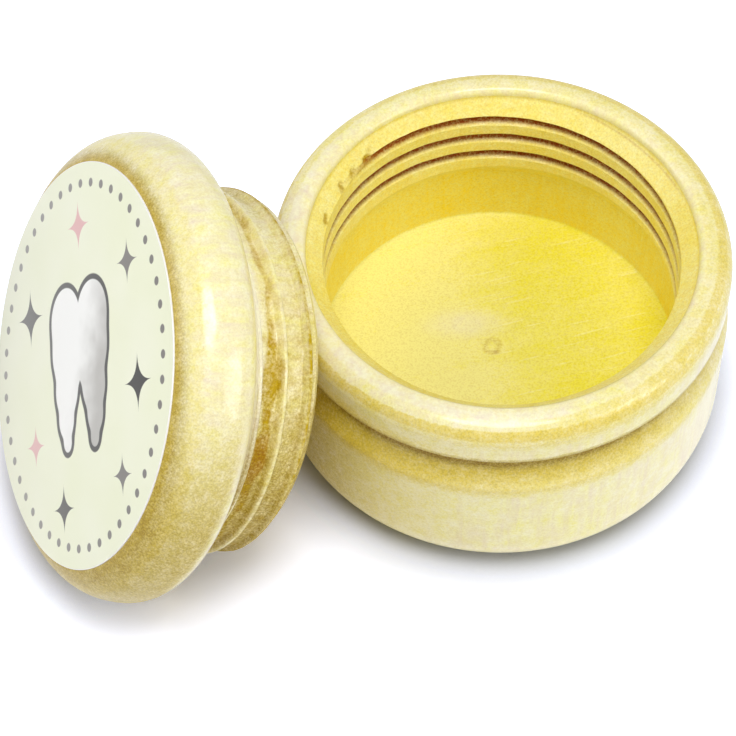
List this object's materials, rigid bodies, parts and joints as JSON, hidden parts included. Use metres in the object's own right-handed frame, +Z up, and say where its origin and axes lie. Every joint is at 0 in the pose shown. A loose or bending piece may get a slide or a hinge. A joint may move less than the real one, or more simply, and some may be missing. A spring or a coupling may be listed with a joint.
{
  "type": "milk tooth box",
  "caption": "Small round turned wooden keepsake box for milk teeth, open: threaded base with a rim bead and cove, and its screw lid with a round paper label lying beside it.",
  "frame": {"origin": "centre of the base's flat resting face", "axes": "+Z up along the base's axis; +X towards the right and +Y away from the viewer of the picture, so the lid lies towards -X"},
  "size_m": [0.0738, 0.0557, 0.0412],
  "materials": {
    "base_wood": "pale turned hardwood, satin lacquer",
    "lid_wood": "pale turned hardwood, satin lacquer",
    "label_paper": "glossy printed paper label"
  },
  "bodies": {
    "base": {"box_base": "base_wood"},
    "lid": {"screw_lid": "lid_wood", "lid_label": "label_paper"}
  },
  "joints": [
    {"name": "lid_swing", "type": "hinge", "parent": "base", "child": "lid", "pos_m": [0.00825, 0.00244, 0.00579], "axis": [-0.284, 0.9588, 0], "range_deg": [0, 62.41]}
  ]
}
